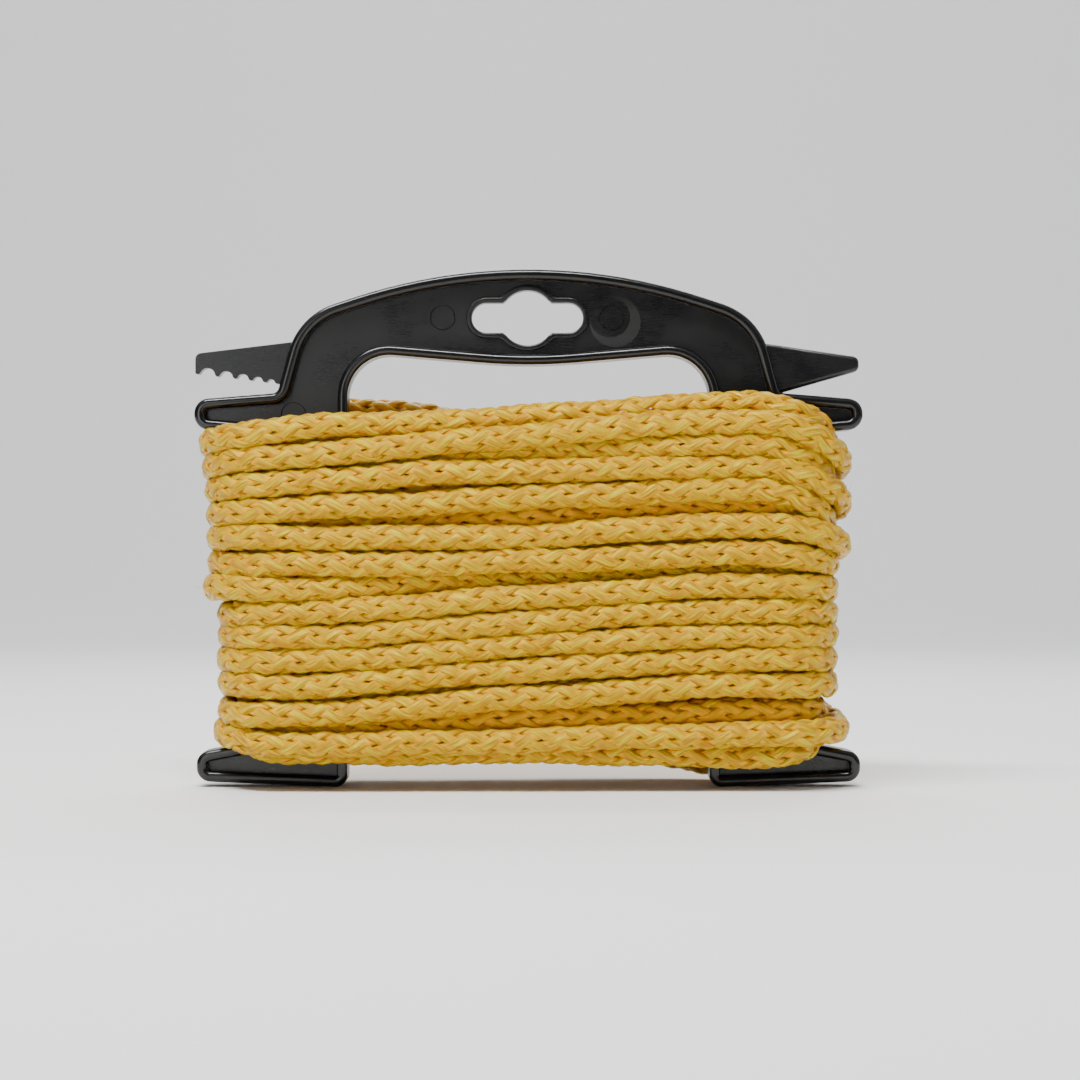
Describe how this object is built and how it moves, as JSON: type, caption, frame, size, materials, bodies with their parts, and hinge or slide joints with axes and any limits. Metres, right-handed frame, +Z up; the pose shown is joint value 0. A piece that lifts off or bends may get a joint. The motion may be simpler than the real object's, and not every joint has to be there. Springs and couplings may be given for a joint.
{
  "type": "rope hand winder",
  "caption": "Flat H-shaped hand winder with an arched carrying handle, hang hole, notched jaw and spike, wound with braided rope.",
  "frame": {"origin": "on the ground midway between the two feet, in the middle plane of the flat frame", "axes": "+X to the right seen from the front, towards the spike; +Y to the back; +Z up through the handle"},
  "size_m": [0.1914, 0.0544, 0.1481],
  "materials": {
    "frame_plastic": "near-black moulded polypropylene, semi-gloss on the beads and finely matt on the web",
    "rope": "golden yellow braided polypropylene with glossy filaments"
  },
  "bodies": {
    "root": {"winder_frame": "frame_plastic", "rope_coil": "rope", "rope_tail": "rope"}
  },
  "joints": []
}
